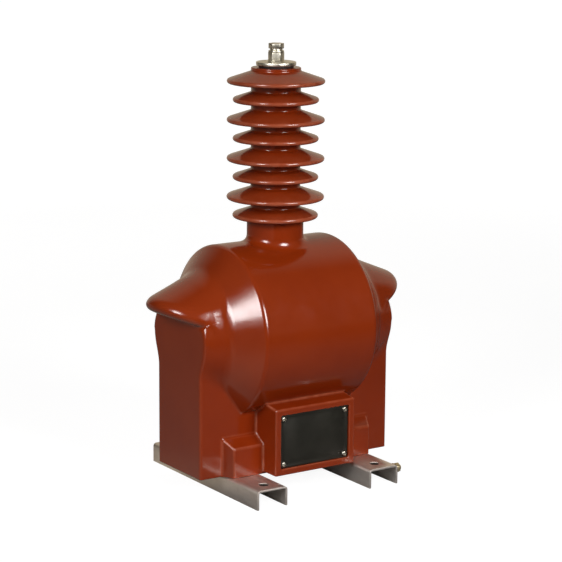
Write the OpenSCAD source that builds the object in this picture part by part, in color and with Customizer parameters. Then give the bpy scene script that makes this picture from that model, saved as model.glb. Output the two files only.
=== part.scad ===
// Outdoor voltage transformer cast in resin, with one ribbed bushing.
// Origin: centre of the footprint, on the ground.
// X runs along the barrel, the terminal box is on the -Y side and +Z is up.

/* [Bushing] */
// Radius of the bushing trunk between the sheds
trunk_r = 35.6; // [30:0.1:42]
// Radius of the plain neck under the sheds
neck_r = 40.7; // [36:0.1:46]
// Height of the plain neck above the barrel
neck_h = 36; // [26:0.5:60]
// Radius of the large sheds
large_shed_r = 70; // [60:0.5:85]
// Radius of the small sheds
small_shed_r = 61.5; // [52:0.5:75]
// Number of large and small shed pairs
shed_pairs = 4; // [2:1:5]
// Distance from one large shed to the next
shed_pitch = 55.3; // [48:0.1:60]
// Drop from a large shed to the small shed under it
small_shed_drop = 26.7; // [22:0.1:32]
// Drop from the rim of the bushing to the first large shed
first_shed_drop = 19.4; // [16:0.1:26]
// Slope of the upper side of a shed, in degrees
shed_slope = 19; // [12:1:26]
// Slope of the underside of a shed, in degrees
shed_under_slope = 4; // [0:1:10]
// Radius of the rounded shed rim
shed_rim_r = 3.4; // [2:0.1:4.5]
// Radius of the flare between the neck and the barrel
neck_flare = 22; // [10:1:30]
// Height of the flare above the top of the barrel
flare_rise = 11.5; // [6:0.5:18]
// Slope of the foot of the flare, in degrees
flare_slope = 40; // [34:1:46]

/* [Barrel] */
// Radius of the barrel
barrel_r = 123.5; // [116:0.5:140]
// Half length of the cylindrical band of the barrel
barrel_half = 93; // [84:1:100]
// Height of the barrel axis above the channels
barrel_rise = 197.5; // [190:0.5:215]
// Length of the conical band at each end of the barrel
cone_len = 35; // [28:1:42]
// Radius lost over the conical band
cone_drop = 39.5; // [30:0.5:46]
// Radius of the rounded edge between the band and the cone
barrel_edge_r = 6; // [2:0.5:12]

/* [Hooded ends] */
// Half length of the casting, to the flat end faces
end_x = 162; // [156:1:180]
// Half width of the end faces at the barrel
head_half_w = 69; // [62:0.5:74]
// Reach of the hood lip beyond the end face
lip_reach = 43.5; // [30:0.5:50]
// Height of the hood's underside above the barrel axis, at the end face
under_rise = 24.5; // [18:0.5:30]
// Rise of the underside towards the lip, in degrees
under_slope = 20; // [10:1:24]
// Height of the roof above the barrel axis, at the lip
lip_rise = 55; // [50:0.5:60]
// Slope of the hood roof, in degrees
roof_slope = 22; // [16:1:26]
// Radius of the arched roof
roof_r = 86; // [76:1:100]
// Radius of the hood seen from above
hood_r = 71; // [66:0.5:74]

/* [Lower box] */
// Half width of the lower box
box_half_w = 57.5; // [52:0.5:64]
// Radius of the upright edges of the lower box
box_edge_r = 4; // [2:0.5:10]
// Reach of a foot boss beyond the outer side of its channel
foot_reach = 4.5; // [1:0.5:10]
// Depth of a foot boss in front of the wall
foot_depth = 19; // [14:0.5:26]
// Height of a foot boss at the wall
foot_h = 55; // [40:1:70]
// Fall of the foot boss top towards its front
foot_fall = 11.5; // [4:0.5:18]
// Draft of the foot boss sides
foot_draft = 8; // [2:0.5:12]

/* [Terminal box] */
// Half width of the terminal box front
term_half_w = 68; // [60:0.5:76]
// Distance of the terminal box front behind the front of the barrel
term_setback = 15.5; // [4:0.5:22]
// Height of the terminal box underside above the channels
term_lift = 3; // [1:0.5:8]
// Height of the terminal box front
term_h = 97; // [90:0.5:104]
// Rise of the terminal box roof towards the barrel, in degrees
term_roof_slope = 8; // [0:1:14]
// Radius of the terminal box edges
term_edge_r = 3; // [1:0.5:6]
// Width of the frame round the cover plate
frame_w = 9.5; // [7:0.5:13]
// Depth of the cover plate below the frame
cover_sink = 3; // [1:0.5:5]
// Thickness of the cover plate
cover_t = 3; // [2:0.5:4]
// Thickness of the cover gasket
cover_gasket_t = 2; // [1:0.5:3]
// Width of the ledge that the cover is screwed to
ledge_w = 12; // [10:0.5:14]
// Depth of the terminal compartment behind the gasket
compartment_depth = 26; // [20:1:30]
// Diameter of the cover screws
cover_screw_d = 5; // [4:0.5:6]
// Diameter of the cable entry
cable_hole_d = 20; // [16:0.5:24]

/* [Mounting channels] */
// Distance between the middles of the two channels
channel_spacing = 192; // [184:1:204]
// Width of a channel
channel_w = 50; // [46:1:56]
// Height of a channel
channel_h = 28; // [26:0.5:36]
// Length of a channel
channel_len = 286; // [272:1:320]
// Thickness of the channel sheet
channel_t = 3; // [2:0.5:4]
// Outer radius of the channel bends
bend_r = 5; // [4.5:0.5:8]
// Distance between the mounting holes along a channel
hole_spacing = 240; // [226:1:260]
// Diameter of the mounting holes
hole_d = 14; // [11:0.5:18]
// Diameter of the bolts that hold the channels
channel_bolt_d = 12; // [8:1:14]
// Distance of a channel bolt from the front of its foot boss
channel_bolt_inset = 13.5; // [12.5:0.5:16]
// Diameter of the earth stud
earth_stud_d = 8; // [6:1:10]
// Depth of the earth stud below the top of the channel
earth_drop = 8.5; // [7:0.5:16]
// Distance of the earth stud from the front end of the channel
earth_inset = 12; // [10:0.5:20]

/* [Primary terminal] */
// Diameter of the terminal bolt
terminal_bolt_d = 12; // [10:1:14]
// Diameter of the terminal disc
disc_d = 57.2; // [48:0.2:64]
// Thickness of the terminal disc
disc_t = 5; // [3:0.5:8]
// Diameter of the rubber gasket under the disc
gasket_d = 50; // [40:0.5:56]
// Thickness of the rubber gasket under the disc
gasket_t = 3; // [2:0.5:5]
// Turn of the post and the bolt about the bushing's axis, in degrees
terminal_turn = 26; // [0:1:60]
// Height of the hexagonal post
post_h = 13.5; // [8:0.5:18]
// Width of the hexagonal post across its flats
post_flats = 20; // [18:0.5:26]

/* [Core and coil] */
// Thickness of the wound core
core_t = 44; // [38:1:46]
// Width of the wound core
core_w = 76; // [64:1:80]
// Resin cover over the ends of the core
core_end_cover = 12; // [10:1:16]
// Resin cover under the core
core_bottom_cover = 14; // [12:1:18]
// Inner corner radius of the wound core
core_inner_r = 4; // [2:0.5:8]
// Thickness of the core strap
strap_t = 1; // [0.6:0.1:1.5]
// Width of the core strap
strap_w = 19; // [12:1:25]
// Room between the core and the winding tube
tube_room = 3; // [2:0.5:5]
// Wall of the winding tube
tube_wall = 3; // [2:0.5:4]
// Half length of the winding tube
tube_half = 84; // [80:1:86]
// Half length of the secondary and residual windings
low_half = 76; // [70:1:78]
// Build of the secondary winding
secondary_build = 8; // [6:0.5:10]
// Build of the residual winding
residual_build = 5; // [3:0.5:7]
// Wall of the barrier tube
barrier_wall = 4; // [3:0.5:6]
// Build of the primary winding
primary_build = 36; // [28:1:38]
// Half length of the primary winding at its inside
primary_half = 66; // [60:1:70]
// Shortening of the primary winding at its outside
primary_step = 18; // [8:1:24]
// Diameter of the primary lead
primary_lead_d = 6; // [4:0.5:8]
// Diameter of the secondary leads
lead_d = 2.4; // [1.6:0.2:3]
// Distance between the secondary studs
stud_pitch = 18; // [16:0.5:20]
// Diameter of the secondary studs
stud_d = 6; // [5:0.5:6]

/* [Hidden] */
$fn = 96;

resin = [0.48, 0.15, 0.07];
steel = [0.70, 0.69, 0.67];
zinc = [0.74, 0.72, 0.66];
brass = [0.78, 0.62, 0.30];
rubber = [0.06, 0.06, 0.06];
black = [0.09, 0.09, 0.085];
copper = [0.72, 0.40, 0.20];
board = [0.80, 0.70, 0.50];

// A cut runs past the faces that it opens by this much
over = 1;
// Radial room between a bolt and the thread that holds it
thread_room = 0.15;
// Radial room between a bolt and a plain hole
bolt_room = 0.75;

// Sizes of a fastener in proportion to its thread, as in the common metric series
function flats(d) = 1.6 * d;
function head_h(d) = 0.62 * d;
function nut_h(d) = 0.8 * d;
function washer_d(d) = 1.85 * d;
function washer_t(d) = 0.2 * d;
function spring_d(d) = 1.5 * d;
function spring_t(d) = 0.22 * d;
function pan_r(d) = 0.85 * d;
function pan_h(d) = 0.5 * d;
function slot_len(d) = d;
function slot_w(d) = 0.22 * d;
function slot_depth(d) = 0.25 * d;
// Free thread beyond a nut
function thread_end(d) = 0.35 * d;
// Sizes of a threaded insert in proportion to its thread
function insert_r(d) = 0.8 * d;
function insert_len(d) = 2.6 * d;
function insert_bore_len(d) = 2 * d;
function insert_grip(d) = 1.6 * d;

box_bottom = channel_h;
barrel_z = box_bottom + barrel_rise;
barrel_top = barrel_z + barrel_r;
neck_top = barrel_top + neck_h;
first_shed_z = neck_top + small_shed_drop + (shed_pairs - 1) * shed_pitch;
bushing_top = first_shed_z + first_shed_drop;
cone_x = barrel_half + cone_len;
cone_r = barrel_r - cone_drop;
lip_x = end_x + lip_reach;
lip_top_z = barrel_z + lip_rise;
hood_under_z = barrel_z + under_rise;
term_front = barrel_r - term_setback;
term_bottom = box_bottom + term_lift;
term_top = term_bottom + term_h;
channel_x = channel_spacing / 2;
foot_half_x = channel_x + channel_w / 2 + foot_reach;
foot_front = box_half_w + foot_depth;
bolt_y = foot_front - channel_bolt_inset;

core_bottom = box_bottom + core_bottom_cover;
core_top = barrel_z + core_t / 2;
core_x = end_x - core_end_cover;
core_outer_r = core_inner_r + core_t;
tube_inner_r = norm([core_w, core_t]) / 2 + tube_room;
secondary_r = tube_inner_r + tube_wall;
residual_r = secondary_r + secondary_build;
barrier_r = residual_r + residual_build;
primary_r = barrier_r + barrier_wall;
primary_outer_r = primary_r + primary_build;
lead_root_z = barrel_z + (primary_r + primary_outer_r) / 2;

gasket_z = bushing_top;
disc_z = gasket_z + gasket_t;
post_z = disc_z + disc_t;
terminal_washer_z = post_z + post_h;
terminal_spring_z = terminal_washer_z + washer_t(terminal_bolt_d);
terminal_head_z = terminal_spring_z + spring_t(terminal_bolt_d);
insert_bottom = bushing_top - insert_len(terminal_bolt_d);

recess_y = -term_front + cover_sink + cover_t + cover_gasket_t;
compartment_y = recess_y + compartment_depth;
recess_half_x = term_half_w - frame_w;
recess_bottom = term_bottom + frame_w;
recess_top = term_top - frame_w;
mouth_half_x = recess_half_x - ledge_w;
mouth_bottom = recess_bottom + ledge_w;
mouth_top = recess_top - ledge_w;
stud_z = (mouth_bottom + mouth_top) / 2;
screw_half_x = recess_half_x - ledge_w / 2;
screw_low_z = recess_bottom + ledge_w / 2;
screw_high_z = recess_top - ledge_w / 2;
cover_play = 0.5;
cover_corner_r = 3;
cover_y = recess_y - cover_gasket_t;
cable_y = (recess_y + compartment_y) / 2;
collar_t = 2.5;
collar_d = 1.3 * cable_hole_d;
grommet_bore_d = 0.65 * cable_hole_d;

stud_embed = 2.5 * stud_d;
stud_reach = 0.8 * compartment_depth;
stud_root_y = compartment_y + stud_embed;
lead_step = 4;
lead_y = -(core_w / 2 + lead_step);
lead_down_x = tube_half + 3 * lead_d;

earth_y = -channel_len / 2 + earth_inset;
earth_z = channel_h - earth_drop;
earth_x = channel_x + channel_w / 2;

module rounded_rect(w, h, r) {
    square([w - 2 * r, h], center = true);
    square([w, h - 2 * r], center = true);
    for (sx = [-1, 1], sy = [-1, 1])
        translate([sx * (w / 2 - r), sy * (h / 2 - r)]) circle(r);
}

module hex_prism(af, h) {
    cylinder(d = af / cos(30), h = h, $fn = 6);
}

module ring(outer_d, inner_d, h) {
    difference() {
        cylinder(d = outer_d, h = h);
        translate([0, 0, -over]) cylinder(d = inner_d, h = h + 2 * over);
    }
}

// Split ring, cut through at one side
module split_ring(d) {
    gap = spring_t(d);
    difference() {
        ring(spring_d(d), d + 2 * thread_room, spring_t(d));
        translate([0, -gap / 2, -over]) cube([spring_d(d), gap, spring_t(d) + 2 * over]);
    }
}

// Hexagon bolt with its head below z = 0 and its shank going up
module hex_bolt(d, shank) {
    translate([0, 0, -head_h(d)]) hex_prism(flats(d), head_h(d));
    cylinder(d = d, h = shank);
}

module hex_nut(d) {
    difference() {
        hex_prism(flats(d), nut_h(d));
        translate([0, 0, -over]) cylinder(d = d + 2 * thread_room, h = nut_h(d) + 2 * over);
    }
}

// Solid of revolution about the barrel axis, from a section in (radius, x)
module about_barrel_axis() {
    translate([0, 0, barrel_z]) rotate([0, 90, 0]) rotate_extrude() children();
}

// Tube about the barrel axis
module coil_ring(inner, build, half) {
    about_barrel_axis() translate([inner, -half]) square([build, 2 * half]);
}

module both_ends() {
    children();
    mirror([1, 0, 0]) children();
}

module both_sides() {
    children();
    mirror([0, 1, 0]) children();
}

// Section of one shed, with a rounded rim at (r, z)
module shed_section(r, z) {
    rim_x = r - shed_rim_r;
    top_x = rim_x + shed_rim_r * sin(shed_slope);
    top_z = z + shed_rim_r * cos(shed_slope);
    low_x = rim_x - shed_rim_r * sin(shed_under_slope);
    low_z = z - shed_rim_r * cos(shed_under_slope);
    root_top = top_z + (top_x - trunk_r) * tan(shed_slope);
    root_low = low_z + (low_x - trunk_r) * tan(shed_under_slope);
    polygon([
        [0, root_low],
        [trunk_r, root_low],
        [low_x, low_z],
        [rim_x, z],
        [top_x, top_z],
        [trunk_r, root_top],
        [0, root_top]
    ]);
    translate([rim_x, z]) circle(shed_rim_r);
}

// Ribbed bushing with its neck, as one turned section
module bushing() {
    rotate_extrude() {
        translate([0, barrel_z]) square([trunk_r, bushing_top - barrel_z]);
        translate([0, barrel_z]) square([neck_r, neck_top - barrel_z]);
        for (i = [0 : shed_pairs - 1]) {
            shed_section(large_shed_r, first_shed_z - i * shed_pitch);
            shed_section(small_shed_r, first_shed_z - i * shed_pitch - small_shed_drop);
        }
        flare_section();
    }
}

// Section of the flare under the neck: an arc that ends in a straight slope inside the barrel
module flare_section() {
    flare_top = barrel_top + flare_rise;
    arc_r = neck_r + neck_flare * (1 - sin(flare_slope));
    arc_z = flare_top - neck_flare * cos(flare_slope);
    difference() {
        polygon([
            [0, flare_top],
            [neck_r, flare_top],
            [arc_r, arc_z],
            [arc_r + neck_flare, arc_z - neck_flare * tan(flare_slope)],
            [0, arc_z - neck_flare * tan(flare_slope)]
        ]);
        translate([neck_r + neck_flare, flare_top]) circle(neck_flare);
    }
}

// Half section of the barrel, its conical bands and its tapered ends, in (radius, x)
module barrel_section() {
    cone_angle = atan2(cone_drop, cone_len);
    edge = barrel_edge_r * tan(cone_angle / 2);
    polygon([
        [0, 0],
        [barrel_r, 0],
        [barrel_r, barrel_half - edge],
        [barrel_r - edge * sin(cone_angle), barrel_half + edge * cos(cone_angle)],
        [cone_r, cone_x],
        [head_half_w, end_x],
        [0, end_x]
    ]);
    translate([barrel_r - barrel_edge_r, barrel_half - edge]) circle(barrel_edge_r);
}

module barrel() {
    about_barrel_axis() {
        barrel_section();
        mirror([0, 1]) barrel_section();
    }
}

// Hood over one end face: round seen from above, with an arched roof that falls outwards
module hood() {
    roof_run = 2 * hood_r;
    intersection() {
        translate([lip_x - hood_r, 0, barrel_z]) cylinder(r = hood_r, h = barrel_r);
        translate([lip_x, 0, lip_top_z]) rotate([0, roof_slope, 0]) translate([-roof_run, 0, -roof_r])
            rotate([0, 90, 0]) cylinder(r = roof_r, h = 2 * roof_run);
        translate([0, hood_r + over, 0]) rotate([90, 0, 0]) linear_extrude(2 * hood_r + 2 * over) hood_outline();
    }
}

// Outline of the hood seen from the front, above its underside and let into the head
module hood_outline() {
    polygon([
        [barrel_half, hood_under_z - over],
        [end_x - over, hood_under_z - over],
        [end_x, hood_under_z],
        [lip_x, hood_under_z + lip_reach * tan(under_slope)],
        [lip_x, barrel_top],
        [barrel_half, barrel_top]
    ]);
}

// Upper part of one end, as wide as the barrel end under the hood
module head() {
    translate([barrel_half, 0, barrel_z]) rotate([90, 0, 90]) linear_extrude(end_x - barrel_half)
        translate([-head_half_w, 0]) square([2 * head_half_w, under_rise]);
}

module lower_box() {
    translate([0, 0, box_bottom]) linear_extrude(barrel_z - box_bottom)
        rounded_rect(2 * end_x, 2 * box_half_w, box_edge_r);
}

// Boss over one channel bolt: its top falls and its outer side draws in towards the front
module foot_boss() {
    inner = term_half_w / 2;
    intersection() {
        translate([0, 0, box_bottom]) linear_extrude(foot_h)
            polygon([
                [inner, 0],
                [inner, -foot_front],
                [foot_half_x - foot_draft, -foot_front],
                [foot_half_x, -box_half_w],
                [foot_half_x, 0]
            ]);
        rotate([90, 0, 90]) linear_extrude(foot_half_x + over)
            polygon([
                [-foot_front, box_bottom],
                [-foot_front, box_bottom + foot_h - foot_fall],
                [-box_half_w, box_bottom + foot_h],
                [0, box_bottom + foot_h],
                [0, box_bottom]
            ]);
    }
}

// Walls of the terminal box, with a roof that rises into the barrel
module terminal_box() {
    intersection() {
        translate([0, 0, (term_bottom + term_top) / 2]) rotate([90, 0, 0]) linear_extrude(term_front)
            union() {
                rounded_rect(2 * term_half_w, term_h, term_edge_r);
                translate([-term_half_w, 0]) square([2 * term_half_w, term_h]);
            }
        rotate([90, 0, 90]) translate([0, 0, -term_half_w]) linear_extrude(2 * term_half_w)
            polygon([
                [-term_front, term_bottom],
                [-term_front, term_top - term_edge_r],
                [-term_front + term_edge_r, term_top],
                [0, term_top + term_front * tan(term_roof_slope)],
                [0, term_bottom]
            ]);
    }
}

// Recess of the cover, the room behind it and the cable entry below
module compartment() {
    recess_h = recess_top - recess_bottom;
    mouth_h = mouth_top - mouth_bottom;
    rotate([90, 0, 0]) {
        translate([0, (recess_bottom + recess_top) / 2, -recess_y])
            linear_extrude(term_front) rounded_rect(2 * recess_half_x, recess_h, cover_corner_r);
        translate([0, (mouth_bottom + mouth_top) / 2, -compartment_y])
            linear_extrude(term_front) rounded_rect(2 * mouth_half_x, mouth_h, cover_corner_r);
    }
    translate([0, cable_y, term_bottom - over])
        cylinder(d = cable_hole_d, h = mouth_bottom - term_bottom + 2 * over);
}

module cast_body() {
    color(resin) difference() {
        union() {
            bushing();
            barrel();
            both_ends() {
                hood();
                head();
                both_sides() foot_boss();
            }
            lower_box();
            terminal_box();
        }
        compartment();
        core_half_left();
        core_half_right();
        core_strap();
        strap_clip();
        coil_room();
        primary_lead_run();
        primary_insert_blank();
        secondary_lead_runs();
        secondary_studs();
        mounting_insert_blanks();
        cover_insert_blanks();
    }
}

// Section of the wound core in the X-Z plane, grown outwards by a margin
module core_outline(margin) {
    translate([0, (core_bottom + core_top) / 2])
        rounded_rect(2 * (core_x + margin), core_top - core_bottom + 2 * margin, core_outer_r + margin);
}

module core() {
    translate([0, core_w / 2, 0]) rotate([90, 0, 0]) linear_extrude(core_w)
        difference() {
            core_outline(0);
            translate([0, (core_bottom + core_top) / 2])
                rounded_rect(2 * (core_x - core_t), core_top - core_bottom - 2 * core_t, core_inner_r);
        }
}

module core_half_left() {
    color(steel) intersection() {
        core();
        translate([-end_x, -core_w, 0]) cube([end_x, 2 * core_w, barrel_top]);
    }
}

module core_half_right() {
    color(steel) intersection() {
        core();
        translate([0, -core_w, 0]) cube([end_x, 2 * core_w, barrel_top]);
    }
}

module core_strap() {
    color(zinc) translate([0, strap_w / 2, 0]) rotate([90, 0, 0]) linear_extrude(strap_w)
        difference() {
            core_outline(strap_t);
            core_outline(0);
        }
}

// Folded steel clip that closes the strap under the core
module strap_clip() {
    clip_len = 1.5 * strap_w;
    clip_w = strap_w + 2 * strap_t;
    color(zinc) difference() {
        translate([-clip_len / 2, -clip_w / 2, core_bottom - 2 * strap_t])
            cube([clip_len, clip_w, 2 * strap_t]);
        translate([-clip_len / 2 - over, -strap_w / 2, core_bottom - strap_t])
            cube([clip_len + 2 * over, strap_w, 2 * strap_t]);
    }
}

module winding_tube() {
    color(board) coil_ring(tube_inner_r, tube_wall, tube_half);
}

module secondary_winding() {
    color(copper) coil_ring(secondary_r, secondary_build, low_half);
}

module residual_winding() {
    color(copper) coil_ring(residual_r, residual_build, low_half);
}

module barrier_tube() {
    color(board) coil_ring(barrier_r, barrier_wall, low_half);
}

// High-voltage winding, whose layers grow shorter towards the outside
module primary_section() {
    polygon([
        [primary_r, -primary_half],
        [primary_outer_r, primary_step - primary_half],
        [primary_outer_r, primary_half - primary_step],
        [primary_r, primary_half]
    ]);
}

module primary_winding() {
    color(copper) about_barrel_axis() primary_section();
}

// Room that the tubes and windings take up in the resin
module coil_room() {
    about_barrel_axis() {
        translate([tube_inner_r, -tube_half]) square([tube_wall, 2 * tube_half]);
        translate([secondary_r, -low_half]) square([primary_r - secondary_r, 2 * low_half]);
        primary_section();
    }
}

// Straight run from inside the primary winding into the insert
module primary_lead_run() {
    lead_top_z = insert_bottom + primary_lead_d;
    translate([0, 0, lead_root_z]) cylinder(d = primary_lead_d, h = lead_top_z - lead_root_z);
}

module primary_lead() {
    color(copper) difference() {
        primary_lead_run();
        primary_winding();
        primary_insert_blank();
    }
}

module primary_insert_blank() {
    translate([0, 0, insert_bottom])
        cylinder(r = insert_r(terminal_bolt_d), h = insert_len(terminal_bolt_d));
}

module primary_insert() {
    color(brass) difference() {
        primary_insert_blank();
        translate([0, 0, bushing_top - insert_bore_len(terminal_bolt_d)])
            cylinder(d = terminal_bolt_d + 2 * thread_room, h = insert_bore_len(terminal_bolt_d) + over);
    }
}

// Lead that runs straight from point to point, with a round corner at each
module lead(points) {
    for (i = [0 : len(points) - 2]) {
        run = points[i + 1] - points[i];
        length = norm(run);
        translate(points[i]) rotate([0, acos(run[2] / length), atan2(run[1], run[0])])
            cylinder(d = lead_d, h = length);
        if (i > 0) translate(points[i]) sphere(d = lead_d);
    }
}

// Run from inside the end of a coil at radius r, down beside it and across into the head of a stud
module secondary_lead_run(side, y, r, coil_half, stud) {
    root_x = side * (coil_half - lead_d);
    down_x = side * lead_down_x;
    coil_z = barrel_z - sqrt(pow(r, 2) - pow(y, 2));
    stud_x = stud * stud_pitch;
    lead([
        [root_x, y, coil_z],
        [down_x, y, coil_z],
        [down_x, y, stud_z],
        [stud_x, y, stud_z],
        [stud_x, stud_root_y - head_h(stud_d) / 2, stud_z]
    ]);
}

module secondary_lead_runs() {
    secondary_mid = secondary_r + secondary_build / 2;
    residual_mid = residual_r + residual_build / 2;
    secondary_lead_run(-1, lead_y - 2 * lead_step, secondary_mid, low_half, -2);
    secondary_lead_run(-1, lead_y - lead_step, secondary_mid, low_half, -1);
    secondary_lead_run(1, lead_y, primary_r + lead_d, primary_half, 0);
    secondary_lead_run(1, lead_y - lead_step, residual_mid, low_half, 1);
    secondary_lead_run(1, lead_y - 2 * lead_step, residual_mid, low_half, 2);
}

module secondary_leads() {
    color(copper) difference() {
        secondary_lead_runs();
        coil_room();
        secondary_studs();
    }
}

module at_studs(y) {
    for (i = [-2 : 2])
        translate([i * stud_pitch, y, stud_z]) rotate([90, 0, 0]) children();
}

// Brass studs with a hexagonal head held in the resin
module secondary_studs() {
    color(brass) at_studs(stud_root_y) {
        hex_prism(flats(stud_d), head_h(stud_d));
        cylinder(d = stud_d, h = stud_embed + stud_reach);
    }
}

module secondary_washers() {
    color(brass) at_studs(compartment_y)
        ring(washer_d(stud_d), stud_d + 2 * thread_room, washer_t(stud_d));
}

module secondary_nuts() {
    color(brass) at_studs(compartment_y - washer_t(stud_d)) hex_nut(stud_d);
}

module at_channel_bolts(z) {
    for (sx = [-1, 1], sy = [-1, 1])
        translate([sx * channel_x, sy * bolt_y, z]) children();
}

module mounting_insert_blanks() {
    at_channel_bolts(box_bottom) cylinder(r = insert_r(channel_bolt_d), h = insert_len(channel_bolt_d));
}

module mounting_inserts() {
    color(steel) difference() {
        mounting_insert_blanks();
        at_channel_bolts(box_bottom - over)
            cylinder(d = channel_bolt_d + 2 * thread_room, h = insert_bore_len(channel_bolt_d) + over);
    }
}

module at_cover_screws(y) {
    for (sx = [-1, 1], z = [screw_low_z, screw_high_z])
        translate([sx * screw_half_x, y, z]) rotate([90, 0, 0]) children();
}

module cover_insert_blanks() {
    at_cover_screws(recess_y + insert_len(cover_screw_d))
        cylinder(r = insert_r(cover_screw_d), h = insert_len(cover_screw_d));
}

module cover_inserts() {
    color(brass) difference() {
        cover_insert_blanks();
        at_cover_screws(recess_y + insert_bore_len(cover_screw_d))
            cylinder(d = cover_screw_d + 2 * thread_room, h = insert_len(cover_screw_d));
    }
}

// Outline that fills the recess of the terminal box, less a little play
module cover_outline() {
    cover_h = recess_top - recess_bottom - 2 * cover_play;
    rounded_rect(2 * (recess_half_x - cover_play), cover_h, cover_corner_r);
}

// Flat sheet in that outline, standing in front of y and drilled for the cover screws
module cover_sheet(y, t) {
    difference() {
        translate([0, y, (recess_bottom + recess_top) / 2]) rotate([90, 0, 0])
            linear_extrude(t) cover_outline();
        at_cover_screws(y + over) cylinder(d = cover_screw_d + 2 * bolt_room, h = t + 2 * over);
    }
}

module cover_gasket() {
    mouth_h = mouth_top - mouth_bottom;
    color(rubber) difference() {
        cover_sheet(recess_y, cover_gasket_t);
        translate([0, recess_y + over, (mouth_bottom + mouth_top) / 2]) rotate([90, 0, 0])
            linear_extrude(cover_gasket_t + 2 * over)
                rounded_rect(2 * mouth_half_x, mouth_h, cover_corner_r);
    }
}

module terminal_cover() {
    color(black) cover_sheet(cover_y, cover_t);
}

// Pan-head screws with a crossed slot
module cover_screws() {
    d = cover_screw_d;
    color(zinc) {
        at_cover_screws(cover_y - cover_t) difference() {
            cylinder(r = pan_r(d), h = pan_h(d));
            for (turn = [0, 90])
                rotate([0, 0, turn]) translate([-slot_len(d) / 2, -slot_w(d) / 2, pan_h(d) - slot_depth(d)])
                    cube([slot_len(d), slot_w(d), pan_h(d)]);
        }
        at_cover_screws(recess_y + insert_grip(d))
            cylinder(d = d, h = insert_grip(d) + cover_gasket_t + cover_t);
    }
}

// Rubber bush in the cable entry, with a collar under the terminal box
module cable_grommet() {
    bush_h = mouth_bottom - term_bottom;
    color(rubber) translate([0, cable_y, term_bottom]) difference() {
        union() {
            cylinder(d = cable_hole_d, h = bush_h);
            translate([0, 0, -collar_t]) cylinder(d = collar_d, h = collar_t);
        }
        translate([0, 0, -collar_t - over]) cylinder(d = grommet_bore_d, h = bush_h + collar_t + 2 * over);
    }
}

module terminal_gasket() {
    color(rubber) translate([0, 0, gasket_z])
        ring(gasket_d, terminal_bolt_d + 2 * bolt_room, gasket_t);
}

module terminal_disc() {
    color(zinc) translate([0, 0, disc_z])
        ring(disc_d, terminal_bolt_d + 2 * bolt_room, disc_t);
}

module terminal_post() {
    color(zinc) translate([0, 0, post_z]) difference() {
        rotate([0, 0, terminal_turn]) hex_prism(post_flats, post_h);
        translate([0, 0, -over]) cylinder(d = terminal_bolt_d + 2 * bolt_room, h = post_h + 2 * over);
    }
}

module terminal_washer() {
    color(zinc) translate([0, 0, terminal_washer_z])
        ring(washer_d(terminal_bolt_d), terminal_bolt_d + 2 * thread_room, washer_t(terminal_bolt_d));
}

module terminal_spring_washer() {
    color(zinc) translate([0, 0, terminal_spring_z]) split_ring(terminal_bolt_d);
}

module terminal_bolt() {
    shank = terminal_head_z - bushing_top + insert_grip(terminal_bolt_d);
    color(zinc) translate([0, 0, terminal_head_z]) rotate([0, 0, terminal_turn]) mirror([0, 0, 1])
        hex_bolt(terminal_bolt_d, shank);
}

// Section of a channel: a bent sheet with its web on top
module channel_section() {
    module bent(w, h, r) {
        translate([-w / 2, 0]) square([w, h - r]);
        translate([r - w / 2, 0]) square([w - 2 * r, h]);
        for (side = [-1, 1])
            translate([side * (w / 2 - r), h - r]) circle(r);
    }
    difference() {
        bent(channel_w, channel_h, bend_r);
        translate([0, -over])
            bent(channel_w - 2 * channel_t, channel_h - channel_t + over, bend_r - channel_t);
    }
}

module channel() {
    difference() {
        translate([0, channel_len / 2, 0]) rotate([90, 0, 0]) linear_extrude(channel_len) channel_section();
        for (side = [-1, 1]) {
            translate([0, side * hole_spacing / 2, 0]) cylinder(d = hole_d, h = channel_h + over);
            translate([0, side * bolt_y, 0])
                cylinder(d = channel_bolt_d + 2 * bolt_room, h = channel_h + over);
        }
    }
}

module left_channel() {
    color(steel) translate([-channel_x, 0, 0]) channel();
}

module right_channel() {
    color(steel) translate([channel_x, 0, 0]) channel();
}

module channel_washers() {
    t = washer_t(channel_bolt_d);
    color(zinc) at_channel_bolts(channel_h - channel_t - t)
        ring(washer_d(channel_bolt_d), channel_bolt_d + 2 * thread_room, t);
}

module channel_spring_washers() {
    t = washer_t(channel_bolt_d) + spring_t(channel_bolt_d);
    color(zinc) at_channel_bolts(channel_h - channel_t - t) split_ring(channel_bolt_d);
}

module channel_bolts() {
    grip = channel_t + washer_t(channel_bolt_d) + spring_t(channel_bolt_d);
    color(zinc) at_channel_bolts(channel_h - grip)
        hex_bolt(channel_bolt_d, grip + insert_grip(channel_bolt_d));
}

module at_earth_stud(x) {
    translate([x, earth_y, earth_z]) rotate([0, 90, 0]) children();
}

// Threaded stud welded to the outer flange of the right channel
module earth_stud() {
    d = earth_stud_d;
    color(brass) at_earth_stud(earth_x)
        cylinder(d = d, h = washer_t(d) + spring_t(d) + nut_h(d) + thread_end(d));
}

module earth_washer() {
    color(brass) at_earth_stud(earth_x)
        ring(washer_d(earth_stud_d), earth_stud_d + 2 * thread_room, washer_t(earth_stud_d));
}

module earth_spring_washer() {
    color(brass) at_earth_stud(earth_x + washer_t(earth_stud_d)) split_ring(earth_stud_d);
}

module earth_nut() {
    color(brass) at_earth_stud(earth_x + washer_t(earth_stud_d) + spring_t(earth_stud_d))
        hex_nut(earth_stud_d);
}

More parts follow.
